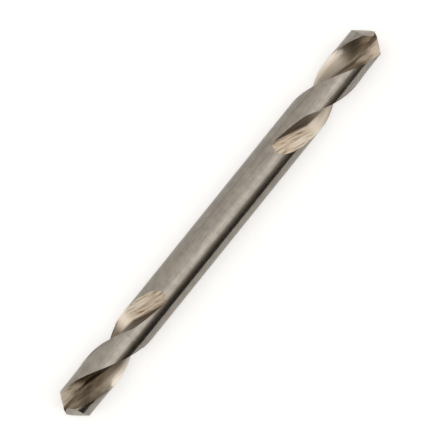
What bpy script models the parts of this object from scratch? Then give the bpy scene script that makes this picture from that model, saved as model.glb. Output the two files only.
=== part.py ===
"""Double-ended twist drill, ground from one steel bar.

The bar lies along X with its middle at the origin. Each end carries a pair of
right-hand flutes and a 118 degree split point. Metres, +Z up.

Directions round the bar are turns from +Z towards -Y, so a right-hand flute
turns forwards as X grows. The -X end is the +X end turned half way round Z.
"""

import math

import bmesh
import bpy
from mathutils import Matrix, Vector

# Bar
drill_diameter = 0.0052
drill_length = 0.065
bar_sides = 96

# Flutes
helix_angle = math.radians(30.0)
flute_reach = 0.0151
flute_turns = {"right": math.radians(42.0), "left": math.radians(48.5)}
sweep_step = math.radians(4.0)

# Grinding wheel that forms a flute, in the plane square to the flute
wheel_radius = 0.030
run_out_angle = math.radians(12.0)
run_out_steps = 14
corner_height = 0.00082
corner_offset = 0.00055
corner_radius = 0.00045
rake_lean = math.radians(56.0)
heel_rise = math.radians(41.0)
corner_points = 5
point_deepening = 1.15

# Point
point_angle = math.radians(118.0)
lip_offset = 0.00075
flank_cone_angle = math.radians(35.0)
flank_cone_distance = 0.0045
flank_cone_skew = 0.00070
flank_cone_sides = 128

# Split of the chisel edge
split_web = 0.00016
split_depth = 0.00012
split_slope = math.radians(24.0)
split_opening = math.radians(58.0)
split_turn = math.radians(42.0)
split_reach = 0.0046

# Relief on the lands behind their leading edges, which ends short of the flute's run-out
margin_width = 0.00035
relief_depth = 0.00008
right_relief_gap = 0.0068
left_relief_gap = 0.0019
relief_width = math.radians(104.0)
relief_strips = 12
relief_taper = 0.7

# Clearances by which a cutter passes the surface that it cuts
overshoot = 0.0006
side_clearance = 0.0012

bar_radius = drill_diameter / 2
flute_lead = math.pi * drill_diameter / math.tan(helix_angle)
twist = 2 * math.pi / flute_lead
half_point = point_angle / 2
relief_lengths = {"right": flute_reach - right_relief_gap, "left": flute_reach - left_relief_gap}


def clear_scene():
    for old in list(bpy.data.objects):
        bpy.data.objects.remove(old, do_unlink=True)


def steel_material():
    steel = bpy.data.materials.new("ground_steel")
    steel.use_nodes = True
    shader = steel.node_tree.nodes["Principled BSDF"]
    shader.inputs["Base Color"].default_value = (0.50, 0.47, 0.43, 1.0)
    shader.inputs["Metallic"].default_value = 1.0
    shader.inputs["Roughness"].default_value = 0.38
    return steel


def object_from(bm, name):
    """Make an object of the finished bmesh, with its faces pointing out."""
    bmesh.ops.recalc_face_normals(bm, faces=bm.faces)
    mesh = bpy.data.meshes.new(name)
    bm.to_mesh(mesh)
    bm.free()
    made = bpy.data.objects.new(name, mesh)
    bpy.context.scene.collection.objects.link(made)
    return made


def cutter_from(bm, name):
    cutter = object_from(bm, name)
    cutter.hide_render = True
    cutter.display_type = "WIRE"
    return cutter


def turned(angle):
    """Frame whose Z looks out of the bar at a turn from +Z towards -Y."""
    return Matrix.Rotation(angle, 4, "X")


def end_frame(side):
    """Move from the frame of the +X end to that of one of the two ends."""
    return Matrix.Identity(4) if side == "right" else Matrix.Rotation(math.pi, 4, "Z")


def bar():
    bm = bmesh.new()
    bmesh.ops.create_cone(
        bm,
        cap_ends=True,
        segments=bar_sides,
        radius1=bar_radius,
        radius2=bar_radius,
        depth=drill_length + 2 * overshoot,
        matrix=Matrix.Rotation(math.pi / 2, 4, "Y"),
    )
    return object_from(bm, "drill_bit")


def side_reach(lean, height_share, radius):
    """How far up a side of the wheel's rim it leaves a bar of that radius.

    The rim stands square to the flute, so the bar's section there is an
    ellipse, and the side is a straight line from the rim's corner.
    """
    side = Vector((lean * math.cos(helix_angle), height_share))
    corner = Vector((corner_offset * math.cos(helix_angle), corner_height))
    along = corner.dot(side) / side.length_squared
    depth = (radius ** 2 - corner.length_squared) / side.length_squared
    return math.sqrt(along ** 2 + depth) - along


def wheel_profile():
    """Outline of the wheel's rim as (across, height above the bar's axis).

    Its left side leans back and grinds the cutting face of one land. Its right
    side rises more gently and grinds the heel of the other land.
    """
    rake = Vector((-math.sin(rake_lean), math.cos(rake_lean)))
    heel = Vector((math.cos(heel_rise), math.sin(heel_rise)))
    corner = Vector((corner_offset, corner_height))
    centre = corner + (rake + heel).normalized() * corner_radius / math.sin(rake.angle(heel) / 2)
    start = math.atan2(-rake.x, rake.y) - math.pi
    end = math.atan2(-heel.x, heel.y)
    clear_radius = bar_radius + side_clearance
    outline = [corner + rake * side_reach(rake.x, rake.y, clear_radius)]
    for number in range(corner_points):
        angle = start + (end - start) * number / (corner_points - 1)
        outline.append(centre + corner_radius * Vector((math.cos(angle), math.sin(angle))))
    outline.append(corner + heel * side_reach(heel.x, heel.y, clear_radius))
    outline.append(Vector((corner_offset, bar_radius + 2 * overshoot)))
    return outline


def leading_edge_turn():
    """Turn from the wheel's middle back to the edge that its rake side cuts."""
    distance = side_reach(-math.sin(rake_lean), math.cos(rake_lean), bar_radius)
    across = corner_offset - math.sin(rake_lean) * distance
    height = corner_height + math.cos(rake_lean) * distance
    lag = twist * math.sin(helix_angle) * across
    return math.atan2(across * math.cos(helix_angle), height) + lag


def wheel_places():
    """Places of the wheel's outline, from the end of its run-out to the point.

    The wheel lifts out of the bar on an arc of its own radius, and follows the
    helix from there. It sinks a little on the way, which thins the web.
    """
    start = drill_length / 2 - flute_reach
    tilt = Matrix.Rotation(-helix_angle, 4, "Z")
    hub = Matrix.Translation((0.0, 0.0, corner_height + wheel_radius))
    places = []
    for number in range(run_out_steps, 0, -1):
        lift = Matrix.Rotation(run_out_angle * number / run_out_steps, 4, "Y")
        places.append(Matrix.Translation((start, 0.0, 0.0)) @ tilt @ hub @ lift @ hub.inverted())
    climb = flute_reach + bar_radius
    steps = math.ceil(climb * twist / sweep_step)
    surface = Matrix.Translation((0.0, 0.0, bar_radius))
    for number in range(steps + 1):
        advance = climb * number / steps
        deeper = 1 + (point_deepening - 1) * advance / flute_reach
        sink = surface @ Matrix.Diagonal((1.0, 1.0, deeper, 1.0)) @ surface.inverted()
        move = Matrix.Translation((start + advance, 0.0, 0.0)) @ turned(twist * advance)
        places.append(move @ sink @ tilt)
    return places


def flute_cutter(name, side, turn):
    """Solid swept by the wheel's outline through all of its places."""
    outline = [Vector((0.0, -p.x, p.y)) for p in wheel_profile()]
    bm = bmesh.new()
    places = wheel_places()
    ring = [bm.verts.new(places[0] @ corner) for corner in outline]
    front = bm.faces.new(ring)
    for place in places[1:]:
        step = bmesh.ops.extrude_discrete_faces(bm, faces=[front])
        front = step["faces"][0]
        for corner, vert in zip(outline, front.verts):
            vert.co = place @ corner
    bm.faces.new(ring)
    cutter = cutter_from(bm, name)
    cutter.matrix_world = end_frame(side) @ turned(turn - twist * flute_reach)
    return cutter


def lip_turn(side):
    """Direction along the first lip of an end, out from the drill's axis."""
    edge_at_tip = flute_turns[side] + leading_edge_turn()
    corner_depth = bar_radius / math.tan(half_point)
    return edge_at_tip - twist * corner_depth - math.asin(lip_offset / bar_radius)


def point_frame(side, turn):
    """Frame at the tip: X along the lip, Y ahead of it, Z out of the end."""
    axes = Matrix(((0, 0, 1, 0), (0, -1, 0, 0), (1, 0, 0, 0), (0, 0, 0, 1)))
    tip = Matrix.Translation((drill_length / 2, 0.0, 0.0))
    return end_frame(side) @ tip @ turned(turn) @ axes


def flank_cone(name, side, turn):
    """The cone on which one flank of the point is ground.

    Its side touches the lip at half the point angle. It is set ahead of the
    lip, so the flank falls away behind it, down to the heel.
    """
    slope = Vector((math.sin(half_point), 0.0, -math.cos(half_point)))
    tilt = half_point - flank_cone_angle
    axis = Vector((math.sin(tilt), 0.0, -math.cos(tilt)))
    curve = flank_cone_distance * math.tan(flank_cone_angle) * math.sin(half_point)
    rise = flank_cone_skew ** 2 / (2 * curve)
    apex = Vector((0.0, flank_cone_skew, rise)) - slope * flank_cone_distance
    height = 1.6 * drill_length
    place = Matrix.Translation(apex + axis * height / 2) @ axis.to_track_quat("-Z", "Y").to_matrix().to_4x4()
    bm = bmesh.new()
    bmesh.ops.create_cone(
        bm,
        cap_ends=True,
        segments=flank_cone_sides,
        radius1=height * math.tan(flank_cone_angle),
        radius2=0.0,
        depth=height,
        matrix=place,
    )
    cone = cutter_from(bm, name)
    cone.matrix_world = point_frame(side, turn)
    return cone


def split_cutter(name, side, turn):
    """Notch that thins the web beside the chisel edge.

    Its root falls from the middle of the point towards the flute. One wall
    stands upright and carries the inner part of the lip, and the other is the
    floor on the heel's side.
    """
    outward = Vector((math.cos(split_turn), math.sin(split_turn), 0.0))
    aside = Vector((-math.sin(split_turn), math.cos(split_turn), 0.0))
    root = outward * math.sin(split_slope) - Vector((0.0, 0.0, math.cos(split_slope)))
    wall = outward * math.cos(split_slope) + Vector((0.0, 0.0, math.sin(split_slope)))
    floor = aside * math.sin(split_opening) + wall * math.cos(split_opening)
    start = aside * split_web / 2 - Vector((0.0, 0.0, split_depth)) - root * overshoot
    bm = bmesh.new()
    for up in (0.0, split_reach):
        for out in (0.0, split_reach):
            for down in (0.0, split_reach):
                bm.verts.new(start + wall * up + floor * out + root * down)
    bmesh.ops.convex_hull(bm, input=bm.verts)
    cutter = cutter_from(bm, name)
    cutter.matrix_world = point_frame(side, turn)
    return cutter


def relief_cutter(name, side, turn):
    """Thin helical shaving off a land, from its margin back past its heel."""
    start = drill_length / 2 - relief_lengths[side]
    edge = leading_edge_turn()
    margin = margin_width / (bar_radius * math.cos(helix_angle))
    section = []
    for number in range(relief_strips + 1):
        depth = relief_depth * (1 - relief_taper * (1 - number / relief_strips) ** 4)
        section.append((edge - margin - relief_width * number / relief_strips, bar_radius - depth))
    for number in range(relief_strips, -1, -1):
        section.append((edge - margin - relief_width * number / relief_strips, bar_radius + overshoot))
    bm = bmesh.new()
    ring = []
    for angle, radius in section:
        ring.append(bm.verts.new((start, -radius * math.sin(angle), radius * math.cos(angle))))
    climb = relief_lengths[side] + overshoot
    steps = math.ceil(climb * twist / sweep_step)
    bmesh.ops.spin(
        bm,
        geom=[bm.faces.new(ring)],
        cent=Vector(),
        axis=Vector((1.0, 0.0, 0.0)),
        dvec=Vector((climb / steps, 0.0, 0.0)),
        angle=climb * twist,
        steps=steps,
    )
    cutter = cutter_from(bm, name)
    cutter.matrix_world = end_frame(side) @ turned(turn - twist * relief_lengths[side])
    return cutter


def cut(part, tool, operation="DIFFERENCE"):
    """Cut the part with a closed tool.

    The ground faces meet at very shallow angles. Only the manifold solver keeps
    the solid whole there, whatever the sizes above.
    """
    step = part.modifiers.new(tool.name, "BOOLEAN")
    step.operation = operation
    step.solver = "MANIFOLD"
    step.object = tool


def grind_end(part, side):
    """Grind the two flutes, then the two flanks, the split and the relief."""
    for number, half in enumerate((0.0, math.pi)):
        turn = flute_turns[side] + half
        cut(part, flute_cutter(f"{side}_flute_{number}", side, turn))
        cut(part, relief_cutter(f"{side}_relief_{number}", side, turn))
    for number, half in enumerate((0.0, math.pi)):
        lip = lip_turn(side) + half
        cut(part, flank_cone(f"{side}_flank_{number}", side, lip), "INTERSECT")
        cut(part, split_cutter(f"{side}_split_{number}", side, lip))


def main():
    clear_scene()
    drill = bar()
    drill.data.materials.append(steel_material())
    grind_end(drill, "right")
    grind_end(drill, "left")
    drill.data.shade_smooth()
    drill.data.set_sharp_from_angle(angle=math.radians(25.0))


main()
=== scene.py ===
"""Looks of the double-ended drill bit: its ground steel surfaces, light and camera.

The drill lies along X. Directions round it are turns from +Z towards -Y, as
they are for its flutes. The +X end is called right and the -X end left.
"""

import math

import bmesh
import bpy
from mathutils import Matrix, Vector


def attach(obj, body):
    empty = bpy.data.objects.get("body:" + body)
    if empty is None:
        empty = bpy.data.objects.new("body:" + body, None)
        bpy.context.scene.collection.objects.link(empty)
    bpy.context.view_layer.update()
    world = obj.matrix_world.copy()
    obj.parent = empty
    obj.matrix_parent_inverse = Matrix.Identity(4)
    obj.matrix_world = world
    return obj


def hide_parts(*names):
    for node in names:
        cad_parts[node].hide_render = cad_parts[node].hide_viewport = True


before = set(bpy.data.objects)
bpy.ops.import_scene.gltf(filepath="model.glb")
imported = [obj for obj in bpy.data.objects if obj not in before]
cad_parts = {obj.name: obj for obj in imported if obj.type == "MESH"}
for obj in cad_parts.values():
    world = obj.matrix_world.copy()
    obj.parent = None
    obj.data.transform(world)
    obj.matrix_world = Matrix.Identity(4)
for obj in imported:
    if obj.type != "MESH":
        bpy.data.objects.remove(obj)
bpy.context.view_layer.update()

# Bar
drill_diameter = 0.0052
drill_length = 0.065
bar_sides = 288

# Flutes
helix_angle = math.radians(30.0)
flute_reach = 0.0151
flute_turns = {"right": math.radians(42.0), "left": math.radians(48.5)}
sweep_step = math.radians(1.0)

# Grinding wheel that forms a flute, in the plane square to the flute
wheel_radius = 0.030
run_out_angle = math.radians(12.0)
run_out_steps = 44
corner_height = 0.00082
corner_offset = 0.00055
corner_radius = 0.00045
corner_points = 15
rake_lean = math.radians(56.0)
heel_rise = math.radians(41.0)
point_deepening = 1.15

# Point
point_angle = math.radians(118.0)
lip_offset = 0.00075
flank_cone_angle = math.radians(35.0)
flank_cone_distance = 0.0045
flank_cone_skew = 0.00070
flank_cone_sides = 512

# Split of the chisel edge
split_web = 0.00016
split_depth = 0.00012
split_slope = math.radians(24.0)
split_opening = math.radians(58.0)
split_turn = math.radians(42.0)
split_reach = 0.0046

# Relief on the lands behind their leading edges, which ends short of the flute's run-out
margin_width = 0.00035
relief_depth = 0.00008
right_relief_gap = 0.0068
left_relief_gap = 0.0019
relief_width = math.radians(104.0)
relief_strips = 40
relief_taper = 0.7

# Clearances by which a cutter passes the surface that it cuts
overshoot = 0.0006
side_clearance = 0.0012
cone_length = 1.6 * drill_length

# Edges sharper than this are shown as edges
crease_angle = math.radians(18.0)

bar_radius = drill_diameter / 2
flute_lead = math.pi * drill_diameter / math.tan(helix_angle)
twist = 2 * math.pi / flute_lead
half_point = point_angle / 2
relief_lengths = {"right": flute_reach - right_relief_gap, "left": flute_reach - left_relief_gap}

# Ways along a flute from its run-out at which its finish and its painted light and shade change, in mm
lift_way = (1.2, -1.4)
painted_run_out_way = (3.6, 0.4)
point_way = (10.2, 12.4)
tip_way = (11.2, 15.2)
# How far the edge of the darker tone near the point wanders, in mm
tone_drift = 1.2

# Darker tone in the flutes of the left end: its lead, its ways along and across, in mm
left_lead = 2.0
left_way = (1.0, 4.0)
left_across = (0.7, 1.7)

# Width over which the heel side's own tone sets in beyond the root, in mm
heel_blend = 0.3

# Grinding lines
lines_per_mm = 3.2
mm_per_metre = 1000.0

# Camera, in pixels of the picture and metres
picture_width = 428.0
drill_pixels = 491.3
pixels_left = 6.4
pixels_up = 8.9
view_roll = math.radians(51.15)
camera_height = 0.60
sensor_width = 36.0

# Floor, and its level as the camera sees it and as the steel reflects it
floor_size = 1.2
floor_gap = 0.00002
floor_glow = 0.46
floor_gleam = 0.14

# Level of the light by how far a direction leans from the foot of the picture to its head
light_levels = (
    (-1.0, 0.15),
    (-0.78, 0.11),
    (-0.69, 0.06),
    (-0.63, 0.024),
    (-0.58, 0.04),
    (-0.54, 0.12),
    (-0.47, 0.34),
    (-0.41, 0.62),
    (-0.37, 1.25),
    (-0.12, 1.50),
    (-0.02, 1.22),
    (0.14, 1.0),
    (0.60, 0.82),
    (0.68, 0.66),
    (0.78, 0.30),
    (1.0, 0.22),
)

# Steel finishes, in the order of the material slots
finishes = (
    "turned_skin",
    "relieved_land",
    "ground_flute",
    "ground_flank",
    "notch_wall",
    "notch_floor",
)


def finish_slot(name):
    return finishes.index(name)


def object_from(bm, name):
    """Make an object of the finished bmesh, with its faces pointing out."""
    bmesh.ops.recalc_face_normals(bm, faces=bm.faces)
    mesh = bpy.data.meshes.new(name)
    bm.to_mesh(mesh)
    bm.free()
    for finish in finishes:
        mesh.materials.append(bpy.data.materials[finish])
    made = bpy.data.objects.new(name, mesh)
    bpy.context.scene.collection.objects.link(made)
    return made


def paint_faces(bm, finish):
    for face in bm.faces:
        face.material_index = finish_slot(finish)


def turned(angle):
    """Frame whose Z looks out of the bar at a turn from +Z towards -Y."""
    return Matrix.Rotation(angle, 4, "X")


def end_frame(side):
    """Move from the frame of the +X end to that of one of the two ends."""
    return Matrix.Identity(4) if side == "right" else Matrix.Rotation(math.pi, 4, "Z")


def bar():
    bm = bmesh.new()
    bmesh.ops.create_cone(
        bm,
        cap_ends=True,
        segments=bar_sides,
        radius1=bar_radius,
        radius2=bar_radius,
        depth=drill_length + 2 * overshoot,
        matrix=Matrix.Rotation(math.pi / 2, 4, "Y"),
    )
    bm.loops.layers.uv.new("grinding")
    paint_faces(bm, "turned_skin")
    return object_from(bm, "twist_drill")


def side_reach(lean, height_share, radius):
    """How far up a side of the wheel's rim it leaves a bar of that radius."""
    side = Vector((lean * math.cos(helix_angle), height_share))
    corner = Vector((corner_offset * math.cos(helix_angle), corner_height))
    along = corner.dot(side) / side.length_squared
    depth = (radius ** 2 - corner.length_squared) / side.length_squared
    return math.sqrt(along ** 2 + depth) - along


def wheel_profile():
    """Outline of the wheel's rim as (across, height above the bar's axis)."""
    rake = Vector((-math.sin(rake_lean), math.cos(rake_lean)))
    heel = Vector((math.cos(heel_rise), math.sin(heel_rise)))
    corner = Vector((corner_offset, corner_height))
    centre = corner + (rake + heel).normalized() * corner_radius / math.sin(rake.angle(heel) / 2)
    start = math.atan2(-rake.x, rake.y) - math.pi
    end = math.atan2(-heel.x, heel.y)
    clear_radius = bar_radius + side_clearance
    outline = [corner + rake * side_reach(rake.x, rake.y, clear_radius)]
    for number in range(corner_points):
        angle = start + (end - start) * number / (corner_points - 1)
        outline.append(centre + corner_radius * Vector((math.cos(angle), math.sin(angle))))
    outline.append(corner + heel * side_reach(heel.x, heel.y, clear_radius))
    outline.append(Vector((corner_offset, bar_radius + 2 * overshoot)))
    return outline


def leading_edge_turn():
    """Turn from the wheel's middle back to the edge that its rake side cuts."""
    distance = side_reach(-math.sin(rake_lean), math.cos(rake_lean), bar_radius)
    across = corner_offset - math.sin(rake_lean) * distance
    height = corner_height + math.cos(rake_lean) * distance
    lag = twist * math.sin(helix_angle) * across
    return math.atan2(across * math.cos(helix_angle), height) + lag


def wheel_places():
    """Places of the wheel's outline from its run-out to the point.

    Each comes with the way that the wheel has travelled up to it.
    """
    start = drill_length / 2 - flute_reach
    tilt = Matrix.Rotation(-helix_angle, 4, "Z")
    hub = Matrix.Translation((0.0, 0.0, corner_height + wheel_radius))
    places = []
    for number in range(run_out_steps, 0, -1):
        angle = run_out_angle * number / run_out_steps
        lift = Matrix.Rotation(angle, 4, "Y")
        move = Matrix.Translation((start, 0.0, 0.0))
        places.append((-wheel_radius * angle, move @ tilt @ hub @ lift @ hub.inverted()))
    climb = flute_reach + bar_radius
    steps = math.ceil(climb * twist / sweep_step)
    surface = Matrix.Translation((0.0, 0.0, bar_radius))
    for number in range(steps + 1):
        advance = climb * number / steps
        deeper = 1 + (point_deepening - 1) * advance / flute_reach
        sink = surface @ Matrix.Diagonal((1.0, 1.0, deeper, 1.0)) @ surface.inverted()
        move = Matrix.Translation((start + advance, 0.0, 0.0)) @ turned(twist * advance)
        places.append((advance / math.cos(helix_angle), move @ sink @ tilt))
    return places


def outline_distances(outline):
    """Distance along the outline of each of its corners, and back to the first."""
    distances = [0.0]
    for number, corner in enumerate(outline):
        following = outline[(number + 1) % len(outline)]
        distances.append(distances[-1] + (following - corner).length)
    return distances


def flute_cutter(name, side, turn):
    """Solid swept by the wheel's outline through all of its places.

    Its grinding map holds the place across the wheel and the way along it.
    """
    outline = [Vector((0.0, -p.x, p.y)) for p in wheel_profile()]
    distances = outline_distances(outline)
    places = wheel_places()
    bm = bmesh.new()
    across = bm.verts.layers.float.new("across")
    along = bm.verts.layers.float.new("along")
    ring = [bm.verts.new(places[0][1] @ corner) for corner in outline]
    for vert, distance in zip(ring, distances):
        vert[across] = distance
        vert[along] = places[0][0]
    front = bm.faces.new(ring)
    for travelled, place in places[1:]:
        step = bmesh.ops.extrude_discrete_faces(bm, faces=[front])
        front = step["faces"][0]
        for corner, distance, vert in zip(outline, distances, front.verts):
            vert.co = place @ corner
            vert[across] = distance
            vert[along] = travelled
    bm.faces.new(ring)
    grinding = bm.loops.layers.uv.new("grinding")
    for face in bm.faces:
        last = any(loop.vert[across] == distances[-2] for loop in face.loops)
        for loop in face.loops:
            wraps = last and loop.vert[across] == 0.0
            share = distances[-1] if wraps else loop.vert[across]
            loop[grinding].uv = (share * mm_per_metre, loop.vert[along] * mm_per_metre)
        face.material_index = finish_slot("ground_flute")
    bm.verts.layers.float.remove(bm.verts.layers.float["across"])
    bm.verts.layers.float.remove(bm.verts.layers.float["along"])
    cutter = object_from(bm, name)
    cutter.matrix_world = end_frame(side) @ turned(turn - twist * flute_reach)
    return cutter


def lip_turn(side):
    """Direction along the first lip of an end, out from the drill's axis."""
    edge_at_tip = flute_turns[side] + leading_edge_turn()
    corner_depth = bar_radius / math.tan(half_point)
    return edge_at_tip - twist * corner_depth - math.asin(lip_offset / bar_radius)


def point_frame(side, turn):
    """Frame at the tip: X along the lip, Y ahead of it, Z out of the end."""
    axes = Matrix(((0, 0, 1, 0), (0, -1, 0, 0), (1, 0, 0, 0), (0, 0, 0, 1)))
    tip = Matrix.Translation((drill_length / 2, 0.0, 0.0))
    return end_frame(side) @ tip @ turned(turn) @ axes


def flank_cone(name, side, turn):
    """The cone on which one flank of the point is ground."""
    slope = Vector((math.sin(half_point), 0.0, -math.cos(half_point)))
    tilt = half_point - flank_cone_angle
    axis = Vector((math.sin(tilt), 0.0, -math.cos(tilt)))
    curve = flank_cone_distance * math.tan(flank_cone_angle) * math.sin(half_point)
    rise = flank_cone_skew ** 2 / (2 * curve)
    apex = Vector((0.0, flank_cone_skew, rise)) - slope * flank_cone_distance
    facing = axis.to_track_quat("-Z", "Y").to_matrix().to_4x4()
    place = Matrix.Translation(apex + axis * cone_length / 2) @ facing
    bm = bmesh.new()
    bmesh.ops.create_cone(
        bm,
        cap_ends=True,
        segments=flank_cone_sides,
        radius1=cone_length * math.tan(flank_cone_angle),
        radius2=0.0,
        depth=cone_length,
        matrix=place,
    )
    bm.loops.layers.uv.new("grinding")
    paint_faces(bm, "ground_flank")
    cone = object_from(bm, name)
    cone.matrix_world = point_frame(side, turn)
    return cone


def split_cutter(name, side, turn):
    """Notch that thins the web beside the chisel edge.

    Its wall holds the notch's root and stands up from it, and its floor runs
    out from the root towards the heel.
    """
    outward = Vector((math.cos(split_turn), math.sin(split_turn), 0.0))
    aside = Vector((-math.sin(split_turn), math.cos(split_turn), 0.0))
    root = outward * math.sin(split_slope) - Vector((0.0, 0.0, math.cos(split_slope)))
    wall = outward * math.cos(split_slope) + Vector((0.0, 0.0, math.sin(split_slope)))
    floor = aside * math.sin(split_opening) + wall * math.cos(split_opening)
    start = aside * split_web / 2 - Vector((0.0, 0.0, split_depth)) - root * overshoot
    bm = bmesh.new()
    for up in (0.0, split_reach):
        for out in (0.0, split_reach):
            for down in (0.0, split_reach):
                bm.verts.new(start + wall * up + floor * out + root * down)
    bmesh.ops.convex_hull(bm, input=bm.verts)
    bmesh.ops.recalc_face_normals(bm, faces=bm.faces)
    bm.loops.layers.uv.new("grinding")
    wall_normal = root.cross(wall).normalized()
    for face in bm.faces:
        on_wall = abs(face.normal.dot(wall_normal)) > 0.99
        face.material_index = finish_slot("notch_wall" if on_wall else "notch_floor")
    cutter = object_from(bm, name)
    cutter.matrix_world = point_frame(side, turn)
    return cutter


def relief_cutter(name, side, turn):
    """Thin helical shaving off a land, from its margin back past its heel."""
    start = drill_length / 2 - relief_lengths[side]
    edge = leading_edge_turn()
    margin = margin_width / (bar_radius * math.cos(helix_angle))
    section = []
    for number in range(relief_strips + 1):
        depth = relief_depth * (1 - relief_taper * (1 - number / relief_strips) ** 4)
        section.append((edge - margin - relief_width * number / relief_strips, bar_radius - depth))
    for number in range(relief_strips, -1, -1):
        section.append((edge - margin - relief_width * number / relief_strips, bar_radius + overshoot))
    bm = bmesh.new()
    ring = []
    for angle, radius in section:
        ring.append(bm.verts.new((start, -radius * math.sin(angle), radius * math.cos(angle))))
    climb = relief_lengths[side] + overshoot
    steps = math.ceil(climb * twist / sweep_step)
    bmesh.ops.spin(
        bm,
        geom=[bm.faces.new(ring)],
        cent=Vector(),
        axis=Vector((1.0, 0.0, 0.0)),
        dvec=Vector((climb / steps, 0.0, 0.0)),
        angle=climb * twist,
        steps=steps,
    )
    bm.loops.layers.uv.new("grinding")
    paint_faces(bm, "relieved_land")
    cutter = object_from(bm, name)
    cutter.matrix_world = end_frame(side) @ turned(turn - twist * relief_lengths[side])
    return cutter


def cut(part, tool, operation="DIFFERENCE"):
    step = part.modifiers.new(tool.name, "BOOLEAN")
    step.operation = operation
    step.solver = "MANIFOLD"
    step.object = tool
    return tool


def grind_end(part, side):
    """Grind the two flutes, then the two flanks, the split and the relief."""
    tools = []
    for number, half in enumerate((0.0, math.pi)):
        turn = flute_turns[side] + half
        tools.append(cut(part, flute_cutter(f"{side}_flute_{number}", side, turn)))
        tools.append(cut(part, relief_cutter(f"{side}_relief_{number}", side, turn)))
    for number, half in enumerate((0.0, math.pi)):
        lip = lip_turn(side) + half
        tools.append(cut(part, flank_cone(f"{side}_flank_{number}", side, lip), "INTERSECT"))
        tools.append(cut(part, split_cutter(f"{side}_split_{number}", side, lip)))
    return tools


def ground_drill():
    """The whole drill as one closed mesh, with a finish for each ground face."""
    part = bar()
    tools = grind_end(part, "right") + grind_end(part, "left")
    graph = bpy.context.evaluated_depsgraph_get()
    mesh = bpy.data.meshes.new_from_object(part.evaluated_get(graph), depsgraph=graph)
    part.modifiers.clear()
    part.data = mesh
    for tool in tools:
        bpy.data.objects.remove(tool, do_unlink=True)
    mesh.shade_smooth()
    mesh.set_sharp_from_angle(angle=crease_angle)
    return part


class NodeSheet:
    """Adds and joins nodes of one tree, so that materials read as short lists."""

    def __init__(self, tree):
        self.tree = tree

    def add(self, kind, **inputs):
        node = self.tree.nodes.new(kind)
        for name, value in inputs.items():
            self.join(value, node.inputs[name.replace("_", " ")])
        return node

    def join(self, value, socket):
        if isinstance(value, bpy.types.NodeSocket):
            self.tree.links.new(value, socket)
        else:
            socket.default_value = value

    def times(self, first, second):
        return self.math("MULTIPLY", first, second)

    def plus(self, first, second):
        return self.math("ADD", first, second)

    def less(self, first, second):
        return self.math("SUBTRACT", first, second)

    def math(self, operation, first, second=0.0):
        node = self.tree.nodes.new("ShaderNodeMath")
        node.operation = operation
        self.join(first, node.inputs[0])
        self.join(second, node.inputs[1])
        return node.outputs[0]

    def span(self, value, low, high, to_low=0.0, to_high=1.0):
        node = self.tree.nodes.new("ShaderNodeMapRange")
        node.interpolation_type = "SMOOTHSTEP"
        for socket, entry in zip(node.inputs, (value, low, high, to_low, to_high)):
            self.join(entry, socket)
        return node.outputs[0]

    def stretched(self, vector, scale):
        node = self.tree.nodes.new("ShaderNodeMapping")
        self.join(vector, node.inputs["Vector"])
        node.inputs["Scale"].default_value = scale
        return node.outputs[0]

    def noise(self, vector, scale, detail=3.0, roughness=0.5, distortion=0.0):
        node = self.add("ShaderNodeTexNoise", Vector=vector, Scale=scale, Detail=detail)
        node.inputs["Roughness"].default_value = roughness
        node.inputs["Distortion"].default_value = distortion
        return node.outputs["Fac"]

    def blend(self, factor, first, second, mode="MIX"):
        node = self.tree.nodes.new("ShaderNodeMix")
        node.data_type = "RGBA"
        node.blend_type = mode
        self.join(factor, node.inputs["Factor"])
        self.join(first, node.inputs[6])
        self.join(second, node.inputs[7])
        return node.outputs[2]

    def tinted(self, first, second):
        """One colour multiplied by the other."""
        return self.blend(1.0, first, second, "MULTIPLY")

    def ramp(self, value, stops):
        """Colours at their places along the value, with smooth steps between."""
        node = self.add("ShaderNodeValToRGB", Fac=value)
        entries = node.color_ramp.elements
        while len(entries) < len(stops):
            entries.new(0.5)
        for entry, (place, colour) in zip(entries, stops):
            entry.position = place
            entry.color = (*colour, 1.0)
        return node.outputs["Color"]


def new_group(name, inputs, outputs):
    group = bpy.data.node_groups.new(name, "ShaderNodeTree")
    for label, kind in inputs:
        group.interface.new_socket(label, in_out="INPUT", socket_type=kind)
    for label, kind in outputs:
        group.interface.new_socket(label, in_out="OUTPUT", socket_type=kind)
    sheet = NodeSheet(group)
    return group, sheet, sheet.add("NodeGroupInput"), sheet.add("NodeGroupOutput")


def wheel_marks_group():
    """Lines that a grinding wheel leaves along its way, fine and coarse."""
    group, sheet, given, result = new_group(
        "wheel_marks",
        [("Vector", "NodeSocketVector"), ("Lines per mm", "NodeSocketFloat")],
        [("Fine", "NodeSocketFloat"), ("Coarse", "NodeSocketFloat"), ("Broken", "NodeSocketFloat")],
    )
    density = given.outputs["Lines per mm"]
    long_way = sheet.stretched(given.outputs["Vector"], (1.0, 0.035, 1.0))
    short_way = sheet.stretched(given.outputs["Vector"], (1.25, 0.10, 1.0))
    sheet.join(sheet.noise(long_way, sheet.times(density, 3.0), 4.0, 0.6), result.inputs["Fine"])
    sheet.join(sheet.noise(long_way, density, 2.0, 0.5), result.inputs["Coarse"])
    sheet.join(sheet.noise(short_way, density, 3.0, 0.6, 0.45), result.inputs["Broken"])
    return group


def mottle_group():
    """Cloudy tone and fine grain of matt steel."""
    group, sheet, given, result = new_group(
        "steel_mottle",
        [("Vector", "NodeSocketVector")],
        [("Cloud", "NodeSocketFloat"), ("Grain", "NodeSocketFloat")],
    )
    sheet.join(sheet.noise(given.outputs["Vector"], 900.0, 3.0, 0.55), result.inputs["Cloud"])
    sheet.join(sheet.noise(given.outputs["Vector"], 6500.0, 3.0, 0.7), result.inputs["Grain"])
    return group


def use_group(sheet, group, **inputs):
    node = sheet.tree.nodes.new("ShaderNodeGroup")
    node.node_tree = group
    for name, value in inputs.items():
        sheet.join(value, node.inputs[name.replace("_", " ")])
    return node


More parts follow.
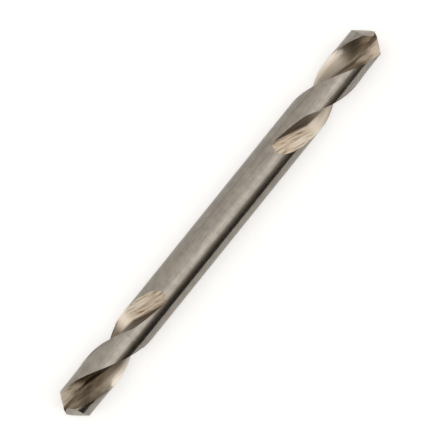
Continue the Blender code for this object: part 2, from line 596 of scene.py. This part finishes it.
def steel(name):
    """A bare steel material, and the sheet and shader to finish it with."""
    material = bpy.data.materials.new(name)
    material.use_nodes = True
    sheet = NodeSheet(material.node_tree)
    shader = material.node_tree.nodes["Principled BSDF"]
    shader.inputs["Metallic"].default_value = 1.0
    return sheet, shader


def object_place(sheet):
    return sheet.add("ShaderNodeTexCoord").outputs["Object"]


def grinding_place(sheet):
    node = sheet.add("ShaderNodeUVMap")
    node.uv_map = "grinding"
    return node.outputs["UV"]


def left_end(sheet):
    """Mask of the -X end, from the object's own place."""
    ways = sheet.add("ShaderNodeSeparateXYZ", Vector=object_place(sheet))
    return sheet.math("LESS_THAN", ways.outputs["X"], 0.0)


def mixed(sheet, first, second, share):
    """Two patterns added, the first with its share and the second with the rest."""
    return sheet.plus(sheet.times(first, share), sheet.times(second, 1.0 - share))


def bumped(sheet, shader, height, strength, distance):
    """Give the steel a fine unevenness of that height."""
    bump = sheet.add("ShaderNodeBump", Strength=strength, Distance=distance, Height=height)
    sheet.join(bump.outputs[0], shader.inputs["Normal"])


def skin_material(name, mottle, light, dark, rough):
    """Round skin of the bar: matt and cloudy, with faint streaks along it."""
    sheet, shader = steel(name)
    place = object_place(sheet)
    clouds = use_group(sheet, mottle, Vector=place)
    streaks = sheet.noise(sheet.stretched(place, (0.06, 1.0, 1.0)), 4200.0, 3.0, 0.6)
    shade = sheet.span(mixed(sheet, clouds.outputs["Cloud"], streaks, 0.55), 0.36, 0.64)
    sheet.join(sheet.blend(shade, dark, light), shader.inputs["Base Color"])
    gloss = sheet.span(clouds.outputs["Grain"], 0.3, 0.7, rough - 0.03, rough + 0.05)
    sheet.join(gloss, shader.inputs["Roughness"])
    bumped(sheet, shader, clouds.outputs["Grain"], 0.03, 0.00002)


def flute_places():
    """Places across the grinding map, in mm: edge, root's start and end, heel's edge, end."""
    distances = outline_distances(wheel_profile())
    rake = (-math.sin(rake_lean), math.cos(rake_lean))
    heel = (math.cos(heel_rise), math.sin(heel_rise))
    clear_radius = bar_radius + side_clearance
    edge = side_reach(*rake, clear_radius) - side_reach(*rake, bar_radius)
    heel_excess = side_reach(*heel, clear_radius) - side_reach(*heel, bar_radius)
    heel_edge = distances[corner_points + 1] - heel_excess
    places = (edge, distances[1], distances[corner_points], heel_edge, distances[-1])
    return [place * mm_per_metre for place in places]


def flute_tones(sheet, across):
    """Colours across a flute: its polish with painted highlights and painted shade at the root, darker
    near the point, and painted shade and highlight in the run-out.
    """
    edge, root_start, root_end, heel_edge, end = flute_places()
    rake_middle = (edge + root_start) / 2
    root_middle = (root_start + root_end) / 2
    heel_middle = (root_end + heel_edge) / 2
    # Bright at the cutting edge and on the heel's middle is painted highlight, and dark at the root is
    # painted shade.
    polished_lit_and_shaded = sheet.ramp(across, (
        (edge / end, (0.86, 0.80, 0.715)),
        ((edge + rake_middle) / 2 / end, (0.70, 0.63, 0.55)),
        (rake_middle / end, (0.44, 0.385, 0.325)),
        (root_start / end, (0.27, 0.23, 0.19)),
        (root_middle / end, (0.21, 0.18, 0.15)),
        (root_end / end, (0.32, 0.275, 0.225)),
        (heel_middle / end, (0.60, 0.53, 0.45)),
        (heel_edge / end, (0.40, 0.35, 0.29)),
    ))
    # Dark at the root is painted shade; the whole ramp is darker near the point.
    darkened = sheet.ramp(across, (
        (edge / end, (0.18, 0.15, 0.118)),
        (rake_middle / end, (0.31, 0.265, 0.213)),
        (root_start / end, (0.26, 0.222, 0.178)),
        (root_middle / end, (0.17, 0.145, 0.115)),
        (root_end / end, (0.36, 0.31, 0.255)),
        (heel_middle / end, (0.44, 0.38, 0.31)),
        (heel_edge / end, (0.30, 0.255, 0.205)),
    ))
    # In the run-out, dark on the rake side is painted shade and near white on the heel side is a
    # painted highlight.
    run_out_shade_and_highlight = sheet.ramp(across, (
        (edge / end, (0.13, 0.105, 0.08)),
        (root_start / end, (0.10, 0.08, 0.06)),
        (root_end / end, (0.90, 0.80, 0.68)),
        (heel_edge / end, (1.0, 0.92, 0.80)),
    ))
    return polished_lit_and_shaded, darkened, run_out_shade_and_highlight


def line_tones(sheet, lines):
    """Colours of the grinding lines: soft in the flute, hard in the run-out."""
    soft = sheet.ramp(lines.outputs["Coarse"], (
        (0.30, (0.84, 0.83, 0.81)),
        (0.70, (1.06, 1.05, 1.04)),
    ))
    hard = sheet.ramp(lines.outputs["Broken"], (
        (0.35, (0.30, 0.22, 0.145)),
        (0.48, (0.80, 0.735, 0.66)),
        (0.66, (1.0, 1.0, 1.0)),
    ))
    return soft, hard


def flute_material(name, marks):
    """Ground flute: with a polish along its way, brown near the point, coarse where the wheel lifts,
    and with painted highlights and painted shade across it.

    It reads the grinding map, whose X runs from the cutting face over the root
    to the heel, and whose Y is negative where the wheel lifts out. The flutes of
    the left end are darker than those of the right one.
    """
    sheet, shader = steel(name)
    place = grinding_place(sheet)
    ways = sheet.add("ShaderNodeSeparateXYZ", Vector=place)
    width, travelled = ways.outputs["X"], ways.outputs["Y"]
    edge, root_start, root_end, _, end = flute_places()
    root_middle = (root_start + root_end) / 2
    polished_lit_and_shaded, darkened, run_out_shade_and_highlight = flute_tones(sheet, sheet.math("DIVIDE", width, end))
    lines = use_group(sheet, marks, Vector=place, Lines_per_mm=lines_per_mm)
    soft, hard = line_tones(sheet, lines)

    on_left = left_end(sheet)
    streaks = sheet.noise(sheet.stretched(place, (1.6, 0.5, 1.0)), 1.0, 3.0, 0.6, 0.5)
    drift = sheet.span(streaks, 0.3, 0.7, -tone_drift, tone_drift)
    along = sheet.plus(sheet.plus(travelled, drift), sheet.times(on_left, left_lead))
    by_point = sheet.span(along, *point_way)
    # Near the tip the heel side is lightened to a painted highlight.
    by_tip = sheet.span(sheet.plus(travelled, sheet.times(drift, 0.5)), *tip_way)
    on_heel = sheet.span(width, root_middle, root_end + heel_blend)
    painted_heel_highlight = sheet.times(by_tip, on_heel)
    mottled = sheet.ramp(streaks, ((0.34, (0.66, 0.63, 0.59)), (0.66, (1.25, 1.23, 1.20))))
    near_point = sheet.blend(painted_heel_highlight, darkened, (0.78, 0.69, 0.585, 1.0))
    tone = sheet.blend(by_point, sheet.tinted(polished_lit_and_shaded, soft), sheet.tinted(near_point, mottled))

    # The left end's flutes are made darker on their inner side, short of the tip.
    inner = sheet.span(width, edge + left_across[0], edge + left_across[1])
    left_darkening = sheet.times(sheet.times(on_left, inner), sheet.span(travelled, *left_way))
    left_darkening = sheet.times(left_darkening, sheet.less(1.0, by_tip))
    tone = sheet.blend(left_darkening, tone, sheet.tinted(tone, (0.46, 0.42, 0.37, 1.0)))

    lifted = sheet.span(travelled, *lift_way)
    # The run-out's colour is painted shade and a painted highlight under the grinding lines.
    painted_run_out_share = sheet.span(travelled, *painted_run_out_way)
    run_out_painted_tone = sheet.tinted(run_out_shade_and_highlight, sheet.blend(lifted, soft, hard))
    sheet.join(sheet.blend(painted_run_out_share, tone, run_out_painted_tone), shader.inputs["Base Color"])

    gloss = sheet.span(lines.outputs["Fine"], 0.3, 0.7, 0.34, 0.44)
    sheet.join(sheet.plus(gloss, sheet.times(lifted, 0.06)), shader.inputs["Roughness"])
    # Less metal under the painted run-out colour and the painted heel highlight, so that they show.
    dulled = sheet.times(sheet.plus(painted_run_out_share, painted_heel_highlight), 0.45)
    sheet.join(sheet.less(1.0, dulled), shader.inputs["Metallic"])
    both_lines = sheet.plus(lines.outputs["Broken"], lines.outputs["Fine"])
    height = sheet.times(both_lines, sheet.plus(sheet.times(lifted, 0.8), 0.2))
    bumped(sheet, shader, height, 0.5, 0.00003)


def point_material(name, mottle, light, dark, metallic, rough):
    """Flat ground faces of the point, with short fine lines."""
    sheet, shader = steel(name)
    shader.inputs["Metallic"].default_value = metallic
    shader.inputs["Roughness"].default_value = rough
    place = object_place(sheet)
    clouds = use_group(sheet, mottle, Vector=place)
    lines = sheet.noise(sheet.stretched(place, (1.0, 0.15, 1.0)), 14000.0, 3.0, 0.6)
    shade = sheet.span(mixed(sheet, clouds.outputs["Cloud"], lines, 0.5), 0.35, 0.65)
    sheet.join(sheet.blend(shade, dark, light), shader.inputs["Base Color"])
    bumped(sheet, shader, lines, 0.15, 0.00002)


def make_finishes():
    """All the steel finishes, each with its light and its dark tone."""
    marks = wheel_marks_group()
    mottle = mottle_group()
    skins = (
        ("turned_skin", (0.385, 0.352, 0.310, 1.0), (0.300, 0.274, 0.246, 1.0), 0.16),
        ("relieved_land", (0.395, 0.365, 0.322, 1.0), (0.310, 0.285, 0.253, 1.0), 0.17),
    )
    for name, light, dark, rough in skins:
        skin_material(name, mottle, light, dark, rough)
    flute_material("ground_flute", marks)
    points = (
        ("ground_flank", (0.49, 0.44, 0.385, 1.0), (0.34, 0.30, 0.26, 1.0), 1.0, 0.34),
        # The notch wall's near-white colour with little metal is a painted highlight, and the notch
        # floor's darker colour is painted shade: both are the same ground steel.
        ("notch_wall", (0.98, 0.88, 0.75, 1.0), (0.62, 0.53, 0.42, 1.0), 0.35, 0.45),
        ("notch_floor", (0.30, 0.25, 0.20, 1.0), (0.18, 0.15, 0.12, 1.0), 1.0, 0.40),
    )
    for name, light, dark, metallic, rough in points:
        point_material(name, mottle, light, dark, metallic, rough)


def floor():
    """Pale floor under the drill. It shows white, and it keeps the soft shadow."""
    bm = bmesh.new()
    bmesh.ops.create_grid(bm, x_segments=1, y_segments=1, size=floor_size)
    bmesh.ops.translate(bm, verts=bm.verts, vec=(0.0, 0.0, -bar_radius - floor_gap))
    mesh = bpy.data.meshes.new("pale_floor")
    bm.to_mesh(mesh)
    bm.free()
    material = bpy.data.materials.new("pale_floor")
    material.use_nodes = True
    sheet = NodeSheet(material.node_tree)
    shader = material.node_tree.nodes["Principled BSDF"]
    shader.inputs["Base Color"].default_value = (0.84, 0.84, 0.84, 1.0)
    shader.inputs["Roughness"].default_value = 1.0
    shader.inputs["Specular IOR Level"].default_value = 0.0
    shader.inputs["Emission Color"].default_value = (1.0, 1.0, 1.0, 1.0)
    rays = sheet.add("ShaderNodeLightPath")
    mirrored = sheet.math("MAXIMUM", rays.outputs["Is Glossy Ray"], rays.outputs["Is Transmission Ray"])
    seen = sheet.times(rays.outputs["Is Camera Ray"], floor_glow)
    gleam = sheet.times(mirrored, floor_gleam)
    sheet.join(sheet.plus(seen, gleam), shader.inputs["Emission Strength"])
    mesh.materials.append(material)
    made = bpy.data.objects.new("pale_floor", mesh)
    bpy.context.scene.collection.objects.link(made)
    return made


def studio():
    """Soft light overhead: a bright strip along the drill and a dark one below it.

    Its level depends on how far a direction leans to the head of the picture.
    The camera itself sees plain white.
    """
    world = bpy.data.worlds.new("soft_studio")
    bpy.context.scene.world = world
    world.use_nodes = True
    sheet = NodeSheet(world.node_tree)
    background = world.node_tree.nodes["Background"]
    direction = sheet.add("ShaderNodeTexCoord").outputs["Generated"]
    toward = sheet.add("ShaderNodeSeparateXYZ", Vector=direction)
    along = sheet.times(toward.outputs["X"], math.sin(view_roll))
    aside = sheet.times(toward.outputs["Y"], math.cos(view_roll))
    stops = []
    for lean, level in light_levels:
        white = min(level, 1.0)
        green = level * (0.88 + 0.095 * white)
        blue = level * (0.70 + 0.24 * white)
        stops.append((0.5 + lean / 2, (level, green, blue)))
    tone = sheet.ramp(sheet.plus(sheet.times(sheet.plus(along, aside), 0.5), 0.5), stops)
    sheet.join(tone, background.inputs["Color"])
    seen = sheet.add("ShaderNodeLightPath").outputs["Is Camera Ray"]
    plain = sheet.add("ShaderNodeBackground", Color=(1.0, 1.0, 1.0, 1.0), Strength=1.0)
    mix = sheet.add("ShaderNodeMixShader", Fac=seen)
    output = world.node_tree.nodes["World Output"]
    sheet.join(background.outputs[0], mix.inputs[1])
    sheet.join(plain.outputs[0], mix.inputs[2])
    sheet.join(mix.outputs[0], output.inputs["Surface"])


def camera():
    """Long lens straight above the drill, turned so that +X runs up and right."""
    pixel = drill_length / drill_pixels
    right = Vector((math.cos(view_roll), -math.sin(view_roll), 0.0))
    up = Vector((math.sin(view_roll), math.cos(view_roll), 0.0))
    target = -right * pixels_left * pixel + up * pixels_up * pixel
    place = target + Vector((0.0, 0.0, camera_height))
    data = bpy.data.cameras.new("above")
    data.sensor_width = sensor_width
    data.lens = sensor_width * camera_height / (picture_width * pixel)
    data.clip_start = 0.01
    eye = bpy.data.objects.new("above", data)
    eye.matrix_world = Matrix((
        (right.x, up.x, 0.0, place.x),
        (right.y, up.y, 0.0, place.y),
        (0.0, 0.0, 1.0, place.z),
        (0.0, 0.0, 0.0, 1.0),
    ))
    bpy.context.scene.collection.objects.link(eye)
    bpy.context.scene.camera = eye


def main():
    bpy.context.scene.view_settings.view_transform = "Standard"
    make_finishes()
    drill = ground_drill()
    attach(drill, "root")
    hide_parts("drill_bit")
    floor()
    studio()
    camera()


main()
